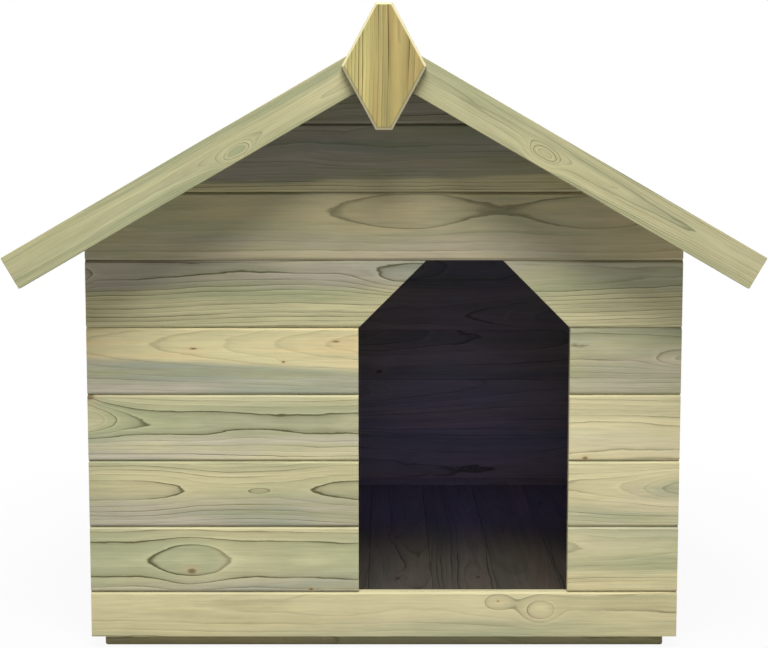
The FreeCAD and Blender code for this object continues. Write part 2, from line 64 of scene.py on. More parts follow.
FRONT = Vector((0, -1, 0))
BACK = Vector((0, 1, 0))
LEFT = Vector((-1, 0, 0))
RIGHT = Vector((1, 0, 0))
UP = Vector((0, 0, 1))
PITCH = math.radians(30)
LEFT_SLOPE = Vector((-math.sin(PITCH), 0, math.cos(PITCH)))
RIGHT_SLOPE = Vector((math.sin(PITCH), 0, math.cos(PITCH)))
DOWN_LEFT = Vector((-math.cos(PITCH), 0, -math.sin(PITCH)))
DOWN_RIGHT = Vector((math.cos(PITCH), 0, -math.sin(PITCH)))

# the cabin's inner faces, moved out by a skin so that the faces themselves count as inside; inside
# them the timber gets painted shade
SKIN = 0.0005
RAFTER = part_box("lid_rafter_middle")
INSIDE_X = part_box("right_wall_board_1")[0].x + SKIN
INSIDE_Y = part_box("back_wall_boards")[0].y + SKIN
INSIDE_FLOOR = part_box("floor_boards")[1].z - SKIN
INSIDE_RIDGE = RAFTER[1].z + RAFTER[0].x * math.tan(PITCH) + SKIN

# how many places on one board may lift the grain
SPOTS = 3
NO_SPOT = (0.0, 0.0, 0.0, 1.0, 1.0, 0.0)

# what one board's seed moves its noise by, and its years
NOISE_STEP = 7.31
YEAR_STEP = 7.0

# how high the grain stands, and how deep the hinges' scratches are
GRAIN_HEIGHT = 0.0004
SCRATCH_DEPTH = 0.0001

# painted shade and light on the floor boards along Y: darker at the doorway, where the front lamp
# shines in, and lighter towards the back, where little light reaches
DOORWAY_END = -0.30
BACK_END = 0.25

# the studio: a round floor just under the house, and how far out it turns white
FLOOR_RADIUS = 9.0
FLOOR_DROP = 0.0005
SHADE_REACH = (0.4, 1.2)
BACK_LAMP_SHARE = 0.4
CABIN_SPOT_SHARE = 10
CABIN_SPOT_CONE = math.radians(72)
CABIN_BLUE = (0.34, 0.33, 1.0)


def paint(red, green, blue):
    """A colour given as it looks on a screen, 0 to 255, as the linear values that Blender mixes."""
    return tuple(
        (c / 255 / 12.92) if c <= 10 else ((c / 255 + 0.055) / 1.055) ** 2.4
        for c in (red, green, blue)
    )


def solid(colour_value, alpha=1.0):
    """A colour with its alpha, as a socket takes it."""
    return (*colour_value, alpha)


# ---------------------------------------------------------------- settings


def colour(name, description, red, green, blue):
    """A colour setting, its default given as it looks on a screen."""
    return FloatVectorProperty(
        name=name,
        description=description,
        subtype="COLOR",
        size=3,
        min=0.0,
        max=1.0,
        default=paint(red, green, blue),
    )


class TimberSettings(bpy.types.PropertyGroup):
    """The pine: its ring spacing, edges and colours"""

    ring_spacing: FloatProperty(
        name="Ring spacing",
        description="Width of one year's growth",
        default=0.0038,
        min=0.001,
        unit="LENGTH",
    )
    edge_round: FloatProperty(
        name="Edge rounding",
        description="How far the planed edges are eased",
        default=0.0004,
        min=0.0,
        unit="LENGTH",
    )
    cream: colour("Cream", "Sapwood that took little treatment", 196, 188, 145)
    green: colour("Green", "Sapwood that took the green treatment", 163, 165, 126)
    grey: colour("Grey", "Heartwood, blue-grey", 148, 152, 136)
    lilac: colour("Lilac", "Heartwood, pink-grey", 172, 164, 148)
    warm: colour("Warm", "Resin-rich streaks", 197, 168, 120)
    line: colour("Late wood", "The dark line that ends a year's growth", 86, 84, 50)
    knot: colour("Knot", "Heart of a knot", 98, 76, 48)
    # painted shade: what is left of a timber's colour inside the cabin, where shade falls
    cabin_painted_shade: colour("Inside", "What is left of a colour inside the cabin", 212, 210, 222)


class HingeSettings(bpy.types.PropertyGroup):
    """The hinges: their plating and edges"""

    zinc: colour("Zinc", "Plated steel", 112, 115, 118)
    roughness: FloatProperty(
        name="Roughness", description="How dull the plating is", default=0.58, min=0.0, max=1.0
    )
    edge_round: FloatProperty(
        name="Edge rounding",
        description="How far the sheet's edges are eased",
        default=0.00012,
        min=0.0,
        unit="LENGTH",
    )
    edge_angle: FloatProperty(
        name="Edge angle",
        description="The least corner that is eased",
        default=35.0,
    )
    smooth_angle: FloatProperty(
        name="Smooth angle",
        description="The greatest corner that is shaded smooth",
        default=math.radians(38),
        subtype="ANGLE",
    )


class StudioSettings(bpy.types.PropertyGroup):
    """The studio: camera, sky, lamps and floor"""

    lens: FloatProperty(name="Lens", description="Focal length in millimetres", default=80.0)
    camera_y: FloatProperty(
        name="Camera place", description="Camera along Y", default=-2.2328, unit="LENGTH"
    )
    camera_z: FloatProperty(
        name="Camera height", description="Camera above the floor", default=0.5795, unit="LENGTH"
    )
    camera_tilt: FloatProperty(
        name="Camera tilt",
        description="How far the camera looks down",
        default=math.radians(6.204),
        subtype="ANGLE",
    )
    sky: FloatProperty(name="Sky", description="Light from all round", default=0.13)
    lamp: FloatProperty(
        name="Lamp", description="Power of the high front lamp, watts", default=208.0
    )
    cabin: FloatProperty(
        name="Cabin fill", description="Faint light inside, watts", default=0.152
    )
    floor: colour("Floor", "The studio floor", 190, 190, 190)


# ---------------------------------------------------------------- node building


class Nodes:
    """Puts nodes into a tree. A value may be a number, a tuple or another node's output."""

    def __init__(self, tree):
        self.tree = tree

    def feed(self, socket, value):
        if isinstance(value, bpy.types.NodeSocket):
            self.tree.links.new(value, socket)
        else:
            socket.default_value = value

    def put(self, kind, *values, **settings):
        node = self.tree.nodes.new(kind)
        for name, setting in settings.items():
            setattr(node, name, setting)
        for socket, value in zip(node.inputs, values):
            if value is not None:
                self.feed(socket, value)
        return node

    def math(self, operation, *values):
        return self.put("ShaderNodeMath", *values, operation=operation).outputs[0]

    def add(self, a, b):
        return self.math("ADD", a, b)

    def sub(self, a, b):
        return self.math("SUBTRACT", a, b)

    def mul(self, a, b):
        return self.math("MULTIPLY", a, b)

    def div(self, a, b):
        return self.math("DIVIDE", a, b)

    def plus(self, a, b, c):
        """a times b, plus c."""
        return self.math("MULTIPLY_ADD", a, b, c)

    def split(self, vector):
        return self.put("ShaderNodeSeparateXYZ", vector).outputs

    def join(self, x, y, z):
        return self.put("ShaderNodeCombineXYZ", x, y, z).outputs[0]

    def ramp(self, value, low, high, start=0.0, end=1.0):
        """Goes smoothly from start at low to end at high."""
        node = self.put("ShaderNodeMapRange", interpolation_type="SMOOTHSTEP")
        for index, item in enumerate((value, low, high, start, end)):
            self.feed(node.inputs[index], item)
        return node.outputs[0]

    def attribute(self, name):
        return self.put("ShaderNodeAttribute", attribute_name=name).outputs["Vector"]

    def noise(self, vector, scale=1.0, detail=2.0, roughness=0.5):
        node = self.put("ShaderNodeTexNoise", noise_dimensions="3D")
        self.feed(node.inputs["Vector"], vector)
        self.feed(node.inputs["Scale"], scale)
        self.feed(node.inputs["Detail"], detail)
        self.feed(node.inputs["Roughness"], roughness)
        return node.outputs[0]

    def wave(self, vector, **keys):
        """Noise from -1 to 1."""
        return self.plus(self.noise(vector, **keys), 2.0, -1.0)

    def mix(self, factor, a, b, blend="MIX"):
        node = self.put("ShaderNodeMix", data_type="RGBA", blend_type=blend, clamp_factor=True)
        self.feed(node.inputs[0], factor)
        self.feed(node.inputs[6], a)
        self.feed(node.inputs[7], b)
        return node.outputs[2]

    def stretched(self, place, along, across, shift):
        """A place for noise that runs with the grain, at these scales and moved by shift."""
        x, y, z = place
        y = self.plus(y, across, shift)
        return self.join(self.plus(x, along, shift), y, self.mul(z, across))

    def dimmed(self, colour_value, share):
        """A colour times a number."""
        return self.mix(1.0, colour_value, self.join(share, share, share), blend="MULTIPLY")

    def raised(self, height, strength, distance):
        """The normal of a surface that stands as high as height says."""
        node = self.put("ShaderNodeBump")
        node.inputs["Strength"].default_value = strength
        node.inputs["Distance"].default_value = distance
        self.feed(node.inputs["Height"], height)
        return node.outputs["Normal"]

    def seen(self):
        """1 for rays that show something to the camera, directly, mirrored or through glass."""
        rays = self.put("ShaderNodeLightPath").outputs
        shown = self.math("MAXIMUM", rays["Is Camera Ray"], rays["Is Glossy Ray"])
        return self.math("MAXIMUM", shown, rays["Is Transmission Ray"])


def new_group(name, inputs, outputs):
    """An empty node group with its sockets.
    Returns the group, its nodes, the values that come in and the node that takes the results."""
    group = bpy.data.node_groups.new(name, "ShaderNodeTree")
    for label, kind, default in inputs:
        socket = group.interface.new_socket(label, in_out="INPUT", socket_type=kind)
        if default is not None:
            socket.default_value = default
    for label, kind in outputs:
        group.interface.new_socket(label, in_out="OUTPUT", socket_type=kind)
    nodes = Nodes(group)
    arriving = nodes.put("NodeGroupInput").outputs
    leaving = nodes.put("NodeGroupOutput").inputs
    return group, nodes, arriving, leaving


def new_material(name):
    """An empty material and its nodes."""
    material = bpy.data.materials.new(name)
    material.use_nodes = True
    material.node_tree.nodes.clear()
    return material, Nodes(material.node_tree)


# ---------------------------------------------------------------- timber


def growth_rings():
    """The number of years from the heart of the log, and where knots are.
    Each board carries where it lay in its log."""
    name = "Growth rings"
    if name in bpy.data.node_groups:
        return bpy.data.node_groups[name]
    number = "NodeSocketFloat"
    group, n, given, result = new_group(
        name,
        [("Spacing", number, 0.0038), ("Waviness", number, 1.0)],
        [("Rings", number), ("Knot", number), ("Halo", number)],
    )
    place = n.split(n.attribute("place"))
    along, across, depth = place
    heart_across, heart_depth, seed = n.split(n.attribute("heart"))
    lean, spacing, wander = n.split(n.attribute("growth"))
    shift = n.mul(seed, NOISE_STEP)
    slow = n.wave(n.join(n.plus(along, 2.6, shift), shift, 0.0), detail=1.0)
    sway = n.wave(n.join(n.plus(along, 1.9, shift), 3.7, shift), detail=1.0)
    soft = n.wave(n.stretched(place, 5.0, 17.0, shift))
    fine = n.wave(n.stretched(place, 22.0, 80.0, shift), detail=4.0, roughness=0.55)

    # the distance to the heart, which leans and wanders along the log, and then a ripple
    level = n.add(n.plus(along, lean, heart_depth), n.mul(slow, wander))
    side = n.sub(n.sub(across, heart_across), n.mul(sway, 0.016))
    below = n.add(depth, level)
    radius = n.math("SQRT", n.plus(side, side, n.mul(below, below)))
    ripple = n.plus(soft, n.plus(wander, 0.22, 0.0022), n.mul(fine, 0.0011))
    radius = n.plus(ripple, given["Waviness"], radius)

    knot = halo = 0.0
    for index in range(1, SPOTS + 1):
        radius, spot, ring = grain_spot(n, index, along, across, fine, radius)
        knot = n.math("MAXIMUM", knot, spot)
        halo = n.math("MAXIMUM", halo, ring)
    n.feed(result["Rings"], n.div(radius, n.mul(given["Spacing"], spacing)))
    n.feed(result["Knot"], knot)
    n.feed(result["Halo"], halo)
    return group


def grain_spot(n, index, along, across, fine, radius):
    """One place where the grain lifts: the radius with it, its knot, and the halo round that."""
    spot_along, spot_across, lift = n.split(n.attribute(f"spot_{index}"))
    long, wide, core = n.split(n.attribute(f"spread_{index}"))
    off_along = n.sub(along, spot_along)
    off_across = n.sub(across, spot_across)
    far_along = n.div(off_along, long)
    far_across = n.div(off_across, wide)
    far = n.plus(far_along, far_along, n.mul(far_across, far_across))
    rise = n.div(1.0, n.plus(far, far, 1.0))
    radius = n.plus(lift, rise, radius)

    # a knot is longer than it is wide, and the fine ripple frays its edge
    slim = n.mul(off_along, n.math("MINIMUM", n.div(wide, long), 0.62))
    gap = n.math("SQRT", n.plus(slim, slim, n.mul(off_across, off_across)))
    gap = n.add(n.div(gap, n.math("MAXIMUM", core, 0.0001)), n.mul(fine, 0.35))
    return radius, n.ramp(gap, 1.2, 0.3), n.ramp(gap, 3.2, 0.9)


def treated_pine():
    """Colour, roughness and height of planed pine, from its growth rings."""
    name = "Treated pine"
    if name in bpy.data.node_groups:
        return bpy.data.node_groups[name]
    number, tint = "NodeSocketFloat", "NodeSocketColor"
    colours = ("Cream", "Green", "Grey", "Lilac", "Warm", "Late wood", "Knot colour")
    group, n, given, result = new_group(
        name,
        [("Rings", number, 0.0), ("Knot", number, 0.0), ("Halo", number, 0.0)]
        + [(label, tint, None) for label in colours]
        + [("Line strength", number, 1.0)],
        [("Color", tint), ("Roughness", number), ("Height", number)],
    )
    place = n.split(n.attribute("place"))
    seed = n.split(n.attribute("heart"))[2]
    shift = n.mul(seed, NOISE_STEP)
    high_bright, low_bright, strength = n.split(n.attribute("shade"))
    rings = given["Rings"]

    # a whole number, so that rounding never changes what a year draws
    numbered_year = n.add(n.math("FLOOR", rings), n.math("ROUND", n.mul(seed, YEAR_STEP)))

    def year_value(offset):
        node = n.put("ShaderNodeTexWhiteNoise", noise_dimensions="1D")
        n.feed(node.inputs["W"], n.add(numbered_year, offset))
        return node.outputs["Value"]

    late, early = late_wood(n, rings, year_value, place[0], shift, strength, given["Line strength"])
    base, high, streak = wood_colour(n, given, place, seed, shift)
    base = n.mix(n.math("MINIMUM", late, 1.0), base, given["Late wood"])

    # fibres, pores, pale early wood and paler or darker years
    fibre = n.noise(n.stretched(place, 22.0, 480.0, shift), detail=3.0, roughness=0.65)
    along, across, depth = place
    blotch = n.join(n.plus(along, 30.0, shift), n.plus(across, 60.0, shift), depth)
    blotch = n.noise(blotch, detail=4.0)
    value = n.add(n.plus(fibre, 0.44, 0.78), n.plus(streak, 0.60, -0.30))
    value = n.add(value, n.plus(blotch, 0.14, -0.07))
    value = n.add(value, n.mul(early, 0.15))
    value = n.add(value, n.plus(year_value(7.7), 0.11, -0.055))
    # a board's brightness; on the boards under the roof it is lowered as painted shade
    value = n.mul(value, n.plus(high, n.sub(high_bright, low_bright), low_bright))
    base = n.dimmed(base, value)
    base = n.mix(n.mul(given["Knot"], 0.8), base, given["Knot colour"])
    n.feed(result["Color"], base)

    # late wood and knots are smoother and stand a little higher
    rough = n.plus(late, -0.12, n.plus(fibre, 0.16, 0.60))
    n.feed(result["Roughness"], n.plus(given["Knot"], -0.15, rough))
    height = n.plus(late, 0.55, n.mul(fibre, 0.5))
    n.feed(result["Height"], n.plus(given["Knot"], 0.4, height))
    return group


def late_wood(n, rings, year_value, along, shift, strength, line_strength):
    """How dark the wood is where a year's growth ends, and how pale where the next year begins.
    A year ends in a thin line, with a soft band that leads up to it."""
    part = n.math("FRACT", rings)
    start = n.plus(year_value(0.0), 0.45, 0.25)
    end = n.ramp(part, 0.94, 1.0, 1.0, 0.0)
    band = n.mul(n.ramp(part, start, 1.0), end)
    line = n.mul(n.ramp(part, 0.74, 0.95), end)
    power = n.plus(n.math("POWER", year_value(3.3), 1.5), 0.9, 0.18)
    fade = n.noise(n.join(n.plus(along, 7.0, shift), n.mul(rings, 0.6), shift), detail=2.0)
    fade = n.ramp(fade, 0.34, 0.60, 0.25, 1.0)
    late = n.math("MAXIMUM", n.mul(band, 0.32), line)
    late = n.mul(n.mul(late, power), n.mul(fade, n.mul(strength, line_strength)))
    early = n.mul(n.ramp(part, 0.0, 0.30, 1.0, 0.0), n.mul(power, strength))
    return late, early


def wood_colour(n, given, place, seed, shift):
    """The pine's colour before its lines are laid on.
    Returns it with how far a place is in the board's upper part, and with the streaks."""
    along, across, depth = place
    split_place, split_soft, split_slope = n.split(n.attribute("split"))

    # slow drifts of colour that follow the grain
    drift = n.join(n.plus(along, 2.6, shift), n.mul(given["Rings"], 0.20), shift)
    drift = n.noise(drift, detail=3.0)
    cloud = n.noise(n.stretched(place, 3.5, 15.0, shift), detail=3.0)
    streak = n.noise(n.stretched(place, 4.0, 110.0, shift), detail=4.0, roughness=0.62)

    # the upper and lower part of a board differ, with a wavering line between
    border = n.add(n.sub(across, split_place), n.mul(along, n.mul(split_slope, -1.0)))
    border = n.add(border, n.plus(cloud, 0.024, -0.012))
    high = n.ramp(n.div(border, split_soft), -1.0, 1.0)

    def part_value(index):
        low_value = n.split(n.attribute("lower"))[index]
        high_value = n.split(n.attribute("upper"))[index]
        return n.plus(high, n.sub(high_value, low_value), low_value)

    creaminess, warmth, greyness = (part_value(index) for index in range(3))
    cream_part = n.ramp(n.add(drift, n.plus(creaminess, 0.5, -0.25)), 0.36, 0.64)
    base = n.mix(cream_part, given["Green"], given["Cream"])
    lilac_part = n.join(n.plus(along, 3.2, seed), n.plus(across, 26.0, seed), n.mul(depth, 20.0))
    lilac_part = n.ramp(n.noise(lilac_part, detail=2.0), 0.34, 0.52)
    greys = n.mix(lilac_part, given["Grey"], given["Lilac"])
    grey_part = n.ramp(n.add(cloud, n.plus(streak, 0.7, -0.35)), 0.36, 0.62)
    base = n.mix(n.mul(n.plus(grey_part, 0.7, 0.3), greyness), base, greys)
    warm_part = n.ramp(n.sub(n.add(drift, streak), cloud), 0.36, 0.66)
    base = n.mix(n.mul(n.plus(warm_part, 0.8, 0.2), warmth), base, given["Warm"])
    base = n.mix(n.mul(given["Halo"], 0.25), base, given["Warm"])
    return base, high, streak


def inside_cabin():
    """1 on surfaces that face into the cabin, 0 outside: where the timber gets painted shade."""
    name = "Inside the cabin"
    if name in bpy.data.node_groups:
        return bpy.data.node_groups[name]
    group, n, _, result = new_group(name, [], [("Inside", "NodeSocketFloat")])
    x, y, z = n.split(n.put("ShaderNodeTexCoord").outputs["Object"])
    x = n.math("ABSOLUTE", x)
    y = n.math("ABSOLUTE", y)
    within = n.math("LESS_THAN", x, INSIDE_X)
    within = n.mul(within, n.math("LESS_THAN", y, INSIDE_Y))
    within = n.mul(within, n.math("GREATER_THAN", z, INSIDE_FLOOR))
    under = n.plus(x, math.tan(PITCH), z)
    within = n.mul(within, n.math("LESS_THAN", under, INSIDE_RIDGE))
    n.feed(result["Inside"], within)
    return group


def timber(
    name,
    lines=1.0,
    spacing=1.0,
    waviness=1.0,
    shade=None,
    late=None,
    rim_and_highlight=None,
    painted_floor_light=None,
):
    """One of the house's timbers: its own line strength, ring spacing and shade over the same pine.
    The floor's dark shade is painted shade for the dim cabin.
    late is the colour of its dark lines. The bevel's colour and width, when given, make a pale rim:
    partly paler sawn wood, partly a painted highlight on bevels that face down. The brightness at
    the doorway's end and at the back, when given, is painted shade where the front lamp lights the
    doorway and painted light towards the back."""
    if name in bpy.data.materials:
        return bpy.data.materials[name]
    settings = bpy.context.scene.dog_house_timber
    material, n = new_material(name)
    growth = n.put("ShaderNodeGroup", node_tree=growth_rings())
    growth.inputs["Spacing"].default_value = settings.ring_spacing * spacing
    growth.inputs["Waviness"].default_value = waviness
    pine = n.put("ShaderNodeGroup", node_tree=treated_pine())
    for output in ("Rings", "Knot", "Halo"):
        n.feed(pine.inputs[output], growth.outputs[output])
    for socket, value in (
        ("Cream", settings.cream),
        ("Green", settings.green),
        ("Grey", settings.grey),
        ("Lilac", settings.lilac),
        ("Warm", settings.warm),
        ("Late wood", late or settings.line),
        ("Knot colour", settings.knot),
    ):
        pine.inputs[socket].default_value = solid(value)
    pine.inputs["Line strength"].default_value = lines
    colour_out = pine.outputs["Color"]
    if shade:
        colour_out = n.mix(1.0, colour_out, solid(shade), blend="MULTIPLY")
    along, _, depth = n.split(n.attribute("place"))
    # a pale rim on the bevel: partly the paler sawn wood, partly a painted highlight on bevels that
    # face down
    if rim_and_highlight:
        rim_highlight_colour, width = rim_and_highlight
        on_rim_highlight = n.mul(n.ramp(depth, 0.0003, 0.0009), n.ramp(depth, width + 0.0004, width))
        colour_out = n.mix(n.mul(on_rim_highlight, 0.75), colour_out, solid(rim_highlight_colour))
    # painted shade at the doorway's end, where the front lamp lights the floor, and painted light
    # towards the back
    if painted_floor_light:
        colour_out = n.dimmed(colour_out, n.ramp(along, DOORWAY_END, BACK_END, *painted_floor_light))
    # painted shade: inside the cabin the timber's colour is multiplied by the cabin colour
    inside = n.put("ShaderNodeGroup", node_tree=inside_cabin()).outputs["Inside"]
    shaded = n.mix(1.0, colour_out, solid(settings.cabin_painted_shade), blend="MULTIPLY")
    colour_out = n.mix(inside, colour_out, shaded)
    surface = n.put("ShaderNodeBsdfPrincipled")
    n.feed(surface.inputs["Base Color"], colour_out)
    n.feed(surface.inputs["Roughness"], pine.outputs["Roughness"])
    surface.inputs["Specular IOR Level"].default_value = 0.3
    n.feed(surface.inputs["Normal"], n.raised(pine.outputs["Height"], 0.6, GRAIN_HEIGHT))
    n.put("ShaderNodeOutputMaterial", surface.outputs[0])
    return material


def frame_wood():
    """The sawn timber of the posts, battens and rafters."""
    return timber("frame timber", lines=0.9, shade=(0.93, 0.92, 0.90))


# ---------------------------------------------------------------- steel


def plated_steel():
    """Zinc-plated hinge steel: faint crystals, fine brushing and a few dull spots."""
    name = "zinc plated steel"
    if name in bpy.data.materials:
        return bpy.data.materials[name]
    settings = bpy.context.scene.dog_house_hinges
    material, n = new_material(name)
    place = n.put("ShaderNodeTexCoord").outputs["Object"]
    crystal = n.put("ShaderNodeTexVoronoi")
    n.feed(crystal.inputs["Vector"], place)
    crystal.inputs["Scale"].default_value = 260.0
    grey = n.split(crystal.outputs["Color"])[0]
    worn = n.noise(place, scale=90.0, detail=4.0)
    base = n.dimmed(solid(settings.zinc), n.plus(grey, 0.14, 0.90))
    base = n.mix(n.ramp(worn, 0.58, 0.75, 0.0, 0.45), base, solid(paint(120, 112, 98)))
    surface = n.put("ShaderNodeBsdfPrincipled")
    n.feed(surface.inputs["Base Color"], base)
    surface.inputs["Metallic"].default_value = 1.0
    rough = n.add(n.plus(grey, 0.10, settings.roughness - 0.05), n.ramp(worn, 0.5, 0.8, 0.0, 0.2))
    n.feed(surface.inputs["Roughness"], rough)
    n.feed(surface.inputs["Normal"], n.raised(worn, 0.3, SCRATCH_DEPTH))
    n.put("ShaderNodeOutputMaterial", surface.outputs[0])
    return material


# ---------------------------------------------------------------- boards


def board_look(name, **chosen):
    """How one board was cut and coloured. What isn't chosen is drawn from the board's own name.
    heart is the log's heart, across the board and behind its face, and lean how fast it sinks.
    upper and lower are how creamy, warm and grey the two parts of the board are, each 0 to 1, and
    how bright. split is the place, softness and slope of the line between the two."""
    draw = random.Random("pine " + name)
    side = draw.choice((-1, 1))
    look = {
        "heart": (draw.uniform(-0.03, 0.03), draw.uniform(0.018, 0.045)),
        "lean": side * draw.uniform(0.005, 0.05),
        "spacing": draw.uniform(0.85, 1.2),
        "wander": draw.uniform(0.004, 0.016),
        "lines": draw.uniform(0.7, 1.0),
        "split": (draw.uniform(-0.02, 0.02), draw.uniform(0.006, 0.02), draw.uniform(-0.03, 0.03)),
    }
    bright = draw.uniform(0.92, 1.05)
    for part in ("upper", "lower"):
        look[part] = (
            draw.uniform(0.2, 0.8),
            draw.uniform(0.0, 0.45),
            draw.uniform(0.1, 0.8),
            bright * draw.uniform(0.95, 1.04),
        )
    look["spots"] = []
    for _ in range(2):
        small = draw.random() < 0.4
        look["spots"].append(
            (
                draw.uniform(-0.36, 0.36),
                draw.uniform(-0.03, 0.03),
                draw.uniform(-0.011, -0.004),
                draw.uniform(0.012, 0.05),
                draw.uniform(0.008, 0.02),
                draw.uniform(0.0025, 0.005) if small else 0.0,
            )
        )
    look["seed"] = draw.uniform(1.0, 60.0)
    look.update(chosen)
    return look


def merged_copy(node):
    """The node's mesh as a bmesh of whole faces."""
    shape = bmesh.new()
    shape.from_mesh(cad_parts[node].data)
    bmesh.ops.remove_doubles(shape, verts=shape.verts, dist=0.00001)
    bmesh.ops.dissolve_limit(
        shape,
        angle_limit=math.radians(0.5),
        use_dissolve_boundaries=False,
        verts=shape.verts,
        edges=shape.edges,
        delimit=set(),
    )
    return shape


def ease_edges(shape, width, angle=30.0, segments=2):
    """Rounds every edge sharper than the angle."""
    limit = math.radians(angle)
    sharp = [e for e in shape.edges if e.is_manifold and e.calc_face_angle(0.0) > limit]
    bmesh.ops.bevel(
        shape,
        geom=sharp,
        offset=width,
        offset_type="OFFSET",
        affect="EDGES",
        segments=segments,
        profile=0.5,
        clamp_overlap=True,
        material=-1,
    )


def loose_parts(shape):
    """The separate solids of a shape, each a list of its vertices."""
    for vertex in shape.verts:
        vertex.tag = False
    parts = []
    for first in shape.verts:
        if first.tag:
            continue
        first.tag = True
        part = [first]
        for vertex in part:
            for edge in vertex.link_edges:
                other = edge.other_vert(vertex)
                if not other.tag:
                    other.tag = True
                    part.append(other)
        parts.append(part)
    return parts


def write_grain(shape, grain, face, look_of):
    """Stores on each vertex where it lies in its board's log, and how the board looks.
    look_of gives the look of a shape's boards by their order across the grain."""
    across_way = face.cross(grain)
    layers = {
        key: shape.verts.layers.float_vector.new(key)
        for key in ["place", "heart", "growth", "upper", "lower", "split", "shade"]
        + [f"spot_{i}" for i in range(1, SPOTS + 1)]
        + [f"spread_{i}" for i in range(1, SPOTS + 1)]
    }
    parts = loose_parts(shape)
    parts.sort(key=lambda part: sum(v.co.dot(across_way) for v in part) / len(part))
    for index, part in enumerate(parts):
        look = look_of(index)
        heights = [v.co.dot(across_way) for v in part]
        middle = (min(heights) + max(heights)) / 2
        outside = max(v.co.dot(face) for v in part)
        spots = list(look["spots"])[:SPOTS]
        spots += [NO_SPOT] * (SPOTS - len(spots))
        values = {
            "heart": (*look["heart"], look["seed"]),
            "growth": (look["lean"], look["spacing"], look["wander"]),
            "upper": look["upper"][:3],
            "lower": look["lower"][:3],
            "shade": (look["upper"][3], look["lower"][3], look["lines"]),
            "split": look["split"],
        }
        for i, (u, v, lift, long, wide, core) in enumerate(spots, start=1):
            values[f"spot_{i}"] = (u, v, lift)
            values[f"spread_{i}"] = (long, wide, core)
        for vertex in part:
            vertex[layers["place"]] = (
                vertex.co.dot(grain),
                vertex.co.dot(across_way) - middle,
                outside - vertex.co.dot(face),
            )
            for key, value in values.items():
                vertex[layers[key]] = value


def finish_piece(shape, node, material, body):
    """Makes the shape an object that stands for its node and rides on its body.
    front_board_left_1 is called FrontBoardLeft1."""
    name = node.replace("_", " ").title().replace(" ", "")
    mesh = bpy.data.meshes.new(name)
    shape.to_mesh(mesh)
    shape.free()
    piece = bpy.data.objects.new(name, mesh)
    bpy.context.scene.collection.objects.link(piece)
    mesh.materials.append(material)
    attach(piece, body)
    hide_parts(node)
    return piece


def dress(node, material, body, grain, face, look=None, easing=1.0):
    """A timber node with eased edges and its grain. Without a look, each board draws its own."""
    settings = bpy.context.scene.dog_house_timber
    shape = merged_copy(node)
    ease_edges(shape, settings.edge_round * easing)
    write_grain(shape, grain, face, lambda index: look or board_look(f"{node} {index}"))
    finish_piece(shape, node, material, body)


# ---------------------------------------------------------------- pieces


